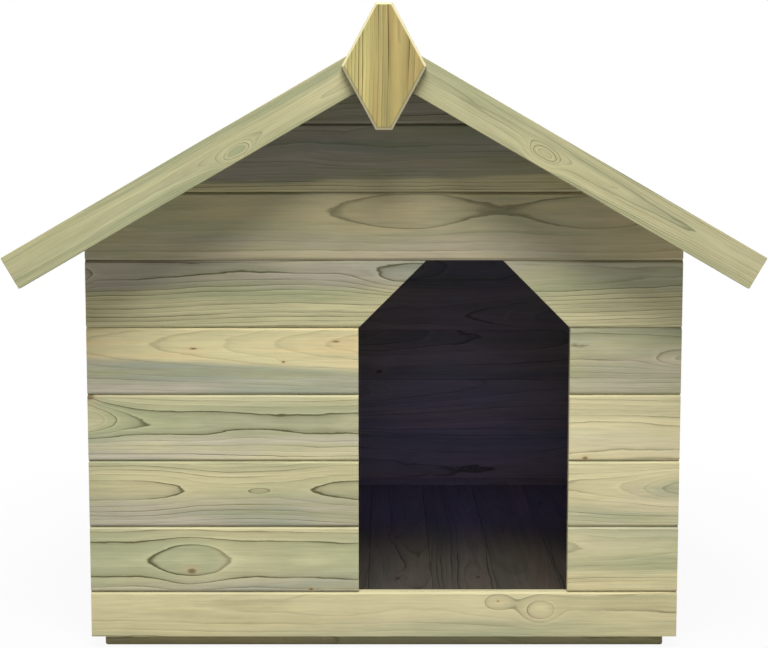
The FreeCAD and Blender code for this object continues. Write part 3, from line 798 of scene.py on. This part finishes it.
def front_looks():
    """Each front board as it was cut, to follow the photograph; the top boards under the roof are
    made darker, as painted shade. Lengths are in metres.
    A spot is where the grain lifts: its place along and across the board, the lift, its length
    and width, and the radius of its knot or 0."""
    return {
        "front_base_board": dict(
            heart=(0.010, 0.040), lean=-0.014, spacing=1.4, wander=0.003, lines=1.2,
            upper=(0.9, 0.10, 0.10, 1.00), lower=(0.7, 0.12, 0.25, 0.98), split=(0.0, 0.012, 0.0),
            spots=[
                (0.178, 0.0, -0.011, 0.018, 0.014, 0.0),
                (0.130, 0.013, -0.007, 0.014, 0.009, 0.0012),
                (-0.066, 0.010, -0.004, 0.030, 0.012, 0.0),
            ],
        ),
        "front_board_left_1": dict(
            seed=30, heart=(-0.006, 0.0509), lean=0.0, spacing=1.447, wander=0.001, lines=1.3,
            upper=(0.40, 0.0, 0.15, 0.98), lower=(0.35, 0.0, 0.85, 0.99),
            split=(-0.016, 0.012, 0.06),
            spots=[
                (-0.2186, -0.007, -0.0061, 0.037, 0.028, 0.0),
                (-0.2186, -0.016, 0.0, 0.03, 0.02, 0.0035),
                (-0.083, -0.037, 0.0, 0.01, 0.008, 0.0018),
            ],
        ),
        "front_board_left_2": dict(
            seed=69, heart=(0.002, 0.024), lean=0.0, spacing=1.0, wander=0.002, lines=1.25,
            upper=(0.55, 0.05, 0.15, 0.94), lower=(0.3, 0.05, 0.9, 0.93),
            split=(-0.006, 0.010, 0.0),
            spots=[
                (-0.158, 0.0, 0.0055, 0.080, 0.08, 0.0),
                (-0.141, 0.001, -0.003, 0.014, 0.004, 0.0),
            ],
        ),
        "front_board_left_3": dict(
            seed=33, heart=(0.005, 0.0272), lean=0.0, spacing=1.0, wander=0.002, lines=1.5,
            upper=(0.45, 0.0, 0.25, 0.99), lower=(0.5, 0.0, 0.85, 1.03),
            split=(-0.012, 0.006, 0.0),
            spots=[
                (-0.350, 0.010, -0.0115, 0.048, 0.020, 0.0),
                (-0.333, 0.034, -0.004, 0.014, 0.012, 0.005),
                (-0.15, -0.012, 0.002, 0.04, 0.012, 0.0),
            ],
        ),
        "front_board_left_4": dict(
            seed=130, heart=(0.014, 0.024), lean=-0.058, wander=0.003, lines=0.7,
            upper=(1.0, 0.46, 0.0, 1.05), lower=(0.3, 0.0, 0.80, 0.96),
            split=(-0.014, 0.005, -0.05),
            spots=[
                (-0.214, 0.012, 0.0, 0.014, 0.004, 0.0014),
                (-0.113, -0.003, -0.002, 0.008, 0.005, 0.0018),
                (-0.054, 0.020, 0.0, 0.018, 0.005, 0.0013),
            ],
        ),
        # its brightness is lowered: painted shade under the roof's overhang
        "front_board_left_5": dict(
            seed=248, heart=(0.026, 0.0189), lean=0.0, wander=0.002, lines=1.2,
            upper=(0.2, 0.1, 0.9, 0.87), lower=(0.7, 0.0, 0.1, 0.88), split=(0.004, 0.006, 0.0),
            spots=[
                (-0.345, 0.014, -0.006, 0.016, 0.012, 0.0),
                (-0.152, -0.004, 0.0035, 0.09, 0.03, 0.0),
                (0.040, 0.010, -0.010, 0.058, 0.016, 0.0),
            ],
        ),
        # its brightness is lowered: painted shade under the roof's overhang
        "front_gable_board_1": dict(
            seed=143, heart=(0.014, 0.0471), lean=0.0, spacing=1.71, wander=0.001, lines=0.9,
            upper=(0.4, 0.30, 0.5, 0.88), lower=(0.4, 0.20, 0.7, 0.90),
            split=(-0.012, 0.010, 0.0),
            spots=[
                (0.030, 0.014, -0.0068, 0.057, 0.028, 0.0),
                (0.240, 0.014, -0.0068, 0.072, 0.028, 0.0),
            ],
        ),
        # its brightness is lowered far: painted shade under the roof's overhang
        "front_gable_board_2": dict(
            seed=138, heart=(0.022, 0.026), lean=0.01, wander=0.006, lines=1.1,
            upper=(0.2, 0.1, 1.0, 0.56), lower=(1.0, 0.1, 0.0, 0.70), split=(-0.026, 0.004, 0.01),
            spots=[
                (-0.03, -0.006, -0.003, 0.05, 0.012, 0.0),
            ],
        ),
        # its brightness is lowered far: painted shade under the roof's overhang
        "front_gable_board_3": dict(
            heart=(0.01, 0.03), lean=0.03, lines=1.1, upper=(0.2, 0.1, 1.0, 0.50),
            lower=(0.3, 0.0, 0.9, 0.52),
            spots=[],
        ),
        "front_board_right_1": dict(
            heart=(0.008, 0.034), lean=0.02, wander=0.006, lines=0.8, upper=(0.5, 0.0, 0.3, 1.02),
            lower=(0.8, 0.15, 0.3, 1.03), split=(-0.02, 0.01, 0.0),
            spots=[],
        ),
        "front_board_right_2": dict(
            heart=(0.008, 0.030), lean=-0.035, wander=0.005, lines=0.9,
            upper=(0.8, 0.05, 0.2, 1.06), lower=(0.5, 0.1, 0.4, 1.03), split=(0.01, 0.012, 0.0),
            spots=[
                (0.350, 0.006, -0.008, 0.055, 0.022, 0.0),
            ],
        ),
        "front_board_right_3": dict(
            heart=(-0.014, 0.040), lean=0.01, wander=0.006, lines=0.8,
            upper=(0.85, 0.1, 0.15, 1.05), lower=(0.7, 0.1, 0.45, 1.06),
            split=(-0.004, 0.010, 0.0),
            spots=[
                (0.2272, -0.037, 0.0, 0.008, 0.006, 0.0026),
            ],
        ),
        "front_board_right_4": dict(
            heart=(0.010, 0.030), lean=0.006, wander=0.005, lines=0.9,
            upper=(0.4, 0.0, 0.75, 0.98), lower=(0.6, 0.1, 0.6, 0.98), split=(0.0, 0.012, 0.0),
            spots=[
                (0.345, -0.002, -0.009, 0.038, 0.010, 0.0),
            ],
        ),
        "front_board_right_5": dict(
            heart=(0.020, 0.024), lean=0.01, wander=0.006, lines=1.25,
            upper=(0.3, 0.0, 0.7, 1.02), lower=(0.75, 0.0, 0.15, 1.07), split=(0.0, 0.01, 0.0),
            spots=[],
        ),
    }


class DOGHOUSE_OT_front_wall(bpy.types.Operator):
    """Boards of the front wall, with the doorway's battens"""

    bl_idname = "doghouse.front_wall"
    bl_label = "Front wall"

    def execute(self, context):
        wall = timber("wall boards")
        base = timber("base boards")
        frame_timber = frame_wood()
        for node, chosen in front_looks().items():
            is_base = node == "front_base_board"
            dress(
                node,
                base if is_base else wall,
                "house",
                RIGHT,
                FRONT,
                board_look(node, **chosen),
            )
        for side in ("left", "right"):
            dress(f"door_batten_{side}", frame_timber, "house", UP, FRONT)
        return {"FINISHED"}


class DOGHOUSE_OT_back_and_sides(bpy.types.Operator):
    """Boards of the back and side walls, with the corner posts"""

    bl_idname = "doghouse.back_and_sides"
    bl_label = "Back and side walls"

    def execute(self, context):
        wall = timber("wall boards")
        base = timber("base boards")
        frame_timber = frame_wood()
        dress("back_wall_boards", wall, "house", LEFT, BACK)
        for side, grain, face in (("left", FRONT, LEFT), ("right", BACK, RIGHT)):
            for row in range(7):
                dress(
                    f"{side}_wall_board_{row}",
                    wall if row else base,
                    "house",
                    grain,
                    face,
                )
        for end, face in (("front", FRONT), ("rear", BACK)):
            for side in ("left", "right"):
                dress(f"corner_post_{end}_{side}", frame_timber, "house", UP, face)
        return {"FINISHED"}


class DOGHOUSE_OT_floor(bpy.types.Operator):
    """Bearers and floor boards"""

    bl_idname = "doghouse.floor"
    bl_label = "Bearers and floor"

    def execute(self, context):
        bearer = timber("bearer timber", lines=0.9, shade=(0.72, 0.71, 0.64))
        # the floor's dark shade is painted shade for the dim cabin; its ramp along Y is painted
        # shade at the doorway and painted light at the back
        floor = timber("floor timber", lines=1.25, shade=(0.27, 0.26, 0.27), painted_floor_light=(0.62, 1.45))
        for place in ("front", "middle", "rear"):
            dress(f"bearer_{place}", bearer, "house", RIGHT, FRONT, easing=6.0)
        dress("floor_boards", floor, "house", BACK, UP)
        return {"FINISHED"}


class DOGHOUSE_OT_roof(bpy.types.Operator):
    """Boards and rafters of both roof halves; the right half is the lid"""

    bl_idname = "doghouse.roof"
    bl_label = "Roof halves"

    def execute(self, context):
        roof = timber("roof boards")
        frame_timber = frame_wood()
        for half, body, grain, face, slope in (
            ("fixed", "house", FRONT, LEFT_SLOPE, DOWN_LEFT),
            ("lid", "lid", BACK, RIGHT_SLOPE, DOWN_RIGHT),
        ):
            dress(f"{half}_roof_boards", roof, body, grain, face)
            for place in ("front", "middle", "rear"):
                dress(f"{half}_rafter_{place}", frame_timber, body, slope, FRONT)
        return {"FINISHED"}


def barge_look(node):
    """How a barge board was cut. Each front one has its oval where the photograph shows it."""
    chosen = dict(
        heart=(0.004, 0.012), lean=0.010, spacing=1.0, wander=0.006, lines=1.0,
        upper=(0.45, 0.0, 0.15, 0.97), lower=(0.60, 0.0, 0.10, 0.97), split=(0.0, 0.01, 0.0),
    )
    if node == "fixed_barge_front":
        chosen.update(spots=[(-0.146, 0.0128, -0.010, 0.020, 0.010, 0.0)])
    if node == "lid_barge_front":
        chosen.update(
            upper=(0.45, 0.0, 0.15, 0.93), lower=(0.60, 0.0, 0.10, 0.93),
            spots=[(-0.134, -0.009, -0.010, 0.020, 0.010, 0.0)],
        )
    return board_look(node, **chosen)


def finial_look(node):
    """How a finial was cut: pale and finely lined on its left, plain and golden on its right."""
    return board_look(
        node,
        seed=35 if node == "finial_front" else 105,
        heart=(-0.018, 0.018), lean=0.0, spacing=1.0, wander=0.002, lines=1.0,
        upper=(0.9, 0.0, 0.0, 1.24), lower=(0.8, 0.45, 0.0, 1.0), split=(0.017, 0.004, 0.0),
        spots=[],
    )


class DOGHOUSE_OT_gable_trim(bpy.types.Operator):
    """Barge boards and the pointed finials at the ridge"""

    bl_idname = "doghouse.gable_trim"
    bl_label = "Barge boards and finials"

    def execute(self, context):
        barge = timber(
            "barge timber", lines=1.35, spacing=0.5, waviness=0.8, shade=(0.86, 0.87, 0.84)
        )
        finial = timber(
            "finial boards",
            lines=1.7,
            spacing=0.92,
            waviness=0.55,
            shade=(0.66, 0.62, 0.42),
            late=paint(100, 80, 32),
            # a pale bevel: partly paler sawn wood, partly a painted highlight on the bevels that
            # face down
            rim_and_highlight=(paint(222, 214, 176), 0.003),
        )
        for half, body, slope in (("fixed", "house", DOWN_LEFT), ("lid", "lid", DOWN_RIGHT)):
            for end, face in (("front", FRONT), ("rear", BACK)):
                node = f"{half}_barge_{end}"
                dress(node, barge, body, slope, face, barge_look(node))
        for end, face in (("front", FRONT), ("rear", BACK)):
            node = f"finial_{end}"
            dress(node, finial, "house", UP, face, finial_look(node))
        return {"FINISHED"}


class DOGHOUSE_OT_hinges(bpy.types.Operator):
    """Leaves, pins and screws of the ridge hinges"""

    bl_idname = "doghouse.hinges"
    bl_label = "Hinges"

    def execute(self, context):
        settings = context.scene.dog_house_hinges
        steel = plated_steel()
        for node, slot, body in (
            ("hinge_leaves_fixed", "hinges", "house"),
            ("hinge_leaves_lid", "hinges", "lid"),
            ("hinge_pins", "hinges", "house"),
            ("hinge_screws_fixed", "screws", "house"),
            ("hinge_screws_lid", "screws", "lid"),
        ):
            shape = merged_copy(node)
            ease_edges(shape, settings.edge_round, angle=settings.edge_angle)
            piece = finish_piece(shape, node, steel, body)
            piece.data.shade_smooth()
            piece.data.set_sharp_from_angle(angle=settings.smooth_angle)
        return {"FINISHED"}


class DOGHOUSE_OT_studio(bpy.types.Operator):
    """Camera, pale floor, sky and lamps"""

    bl_idname = "doghouse.studio"
    bl_label = "Studio"

    def execute(self, context):
        settings = context.scene.dog_house_studio
        self.camera(context, settings)
        self.floor(settings)
        self.world(context, settings)
        self.lamp("front lamp", settings.lamp, 2.2, (0.1, -2.1, 3.5), (0, -0.3, 0.4))
        back = settings.lamp * BACK_LAMP_SHARE
        self.lamp("back lamp", back, 2.4, (-0.6, 2.6, 2.6), (0, 0.2, 0.4))
        fill = self.lamp("cabin fill", settings.cabin, 0.3, (0.1, 0.0, 0.46), (0.1, 0.02, 0.06))
        spot = settings.cabin * CABIN_SPOT_SHARE
        spot = self.lamp("cabin back", spot, 0.1, (0.1, 0.05, 0.50), (0.1, 0.20, 0.06), "SPOT")
        for lamp in (fill, spot):
            lamp.data.color = CABIN_BLUE
        context.scene.view_settings.view_transform = "Standard"
        return {"FINISHED"}

    def camera(self, context, settings):
        data = bpy.data.cameras.new("camera")
        data.lens = settings.lens
        data.sensor_width = 36.0
        data.clip_end = 30.0
        camera = bpy.data.objects.new("camera", data)
        context.scene.collection.objects.link(camera)
        camera.location = (0.0, settings.camera_y, settings.camera_z)
        camera.rotation_euler = (math.radians(90) - settings.camera_tilt, 0, 0)
        context.scene.camera = camera

    def floor(self, settings):
        shape = bmesh.new()
        bmesh.ops.create_circle(shape, cap_ends=True, segments=96, radius=FLOOR_RADIUS)
        bmesh.ops.translate(shape, verts=shape.verts, vec=(0, 0, -FLOOR_DROP))
        mesh = bpy.data.meshes.new("floor")
        shape.to_mesh(mesh)
        shape.free()
        floor = bpy.data.objects.new("floor", mesh)
        bpy.context.scene.collection.objects.link(floor)
        material, n = new_material("studio floor")
        place = n.put("ShaderNodeTexCoord").outputs["Object"]
        far = n.put("ShaderNodeVectorMath", place, operation="LENGTH").outputs["Value"]
        speck = n.noise(place, scale=30.0, detail=3.0)
        base = n.dimmed(solid(settings.floor), n.plus(speck, 0.03, 0.985))
        plain = n.put("ShaderNodeBsdfDiffuse")
        n.feed(plain.inputs["Color"], base)
        glow = n.put("ShaderNodeEmission")
        glow.inputs["Strength"].default_value = 1.0
        share = n.mul(n.seen(), n.ramp(far, *SHADE_REACH, 0.93, 1.0))
        both = n.put("ShaderNodeMixShader", share, plain.outputs[0], glow.outputs[0])
        n.put("ShaderNodeOutputMaterial", both.outputs[0])
        mesh.materials.append(material)

    def world(self, context, settings):
        world = bpy.data.worlds.new("studio")
        context.scene.world = world
        world.use_nodes = True
        world.node_tree.nodes.clear()
        n = Nodes(world.node_tree)
        backdrop = n.put("ShaderNodeBackground", (1.0, 1.0, 1.0, 1.0), 1.0)
        sky = n.put("ShaderNodeBackground", (0.97, 0.985, 1.0, 1.0), settings.sky)
        both = n.put("ShaderNodeMixShader", n.seen(), sky.outputs[0], backdrop.outputs[0])
        n.put("ShaderNodeOutputWorld", both.outputs[0])

    def lamp(self, name, power, size, place, target, kind="AREA"):
        data = bpy.data.lights.new(name, kind)
        if kind == "AREA":
            data.shape = "DISK"
            data.size = size
        else:
            data.shadow_soft_size = size / 2
            data.spot_size = CABIN_SPOT_CONE
            data.spot_blend = 1.0
        data.energy = power
        lamp = bpy.data.objects.new(name, data)
        bpy.context.scene.collection.objects.link(lamp)
        lamp.location = place
        way = Vector(target) - Vector(place)
        lamp.rotation_euler = way.to_track_quat("-Z", "Y").to_euler()
        return lamp


# ---------------------------------------------------------------- panel and main

OPERATORS = (
    DOGHOUSE_OT_studio,
    DOGHOUSE_OT_floor,
    DOGHOUSE_OT_front_wall,
    DOGHOUSE_OT_back_and_sides,
    DOGHOUSE_OT_roof,
    DOGHOUSE_OT_gable_trim,
    DOGHOUSE_OT_hinges,
)


class DOGHOUSE_PT_panel(bpy.types.Panel):
    """Lists the house's pieces and their settings"""

    bl_idname = "DOGHOUSE_PT_panel"
    bl_label = "Dog house"
    bl_space_type = "VIEW_3D"
    bl_region_type = "UI"
    bl_category = "Dog house"

    def draw(self, context):
        for operator in OPERATORS:
            self.layout.operator(operator.bl_idname)
        for group in ("dog_house_timber", "dog_house_hinges", "dog_house_studio"):
            settings = getattr(context.scene, group)
            box = self.layout.box()
            for key in settings.bl_rna.properties.keys():
                if key not in ("rna_type", "name"):
                    box.prop(settings, key)


CLASSES = (TimberSettings, HingeSettings, StudioSettings, *OPERATORS, DOGHOUSE_PT_panel)


def register():
    for item in CLASSES:
        bpy.utils.register_class(item)
    bpy.types.Scene.dog_house_timber = PointerProperty(type=TimberSettings)
    bpy.types.Scene.dog_house_hinges = PointerProperty(type=HingeSettings)
    bpy.types.Scene.dog_house_studio = PointerProperty(type=StudioSettings)


def unregister():
    del bpy.types.Scene.dog_house_studio
    del bpy.types.Scene.dog_house_hinges
    del bpy.types.Scene.dog_house_timber
    for item in reversed(CLASSES):
        bpy.utils.unregister_class(item)


def main():
    register()
    bpy.ops.doghouse.studio()
    bpy.ops.doghouse.floor()
    bpy.ops.doghouse.front_wall()
    bpy.ops.doghouse.back_and_sides()
    bpy.ops.doghouse.roof()
    bpy.ops.doghouse.gable_trim()
    bpy.ops.doghouse.hinges()


if __name__ == "__main__":
    main()
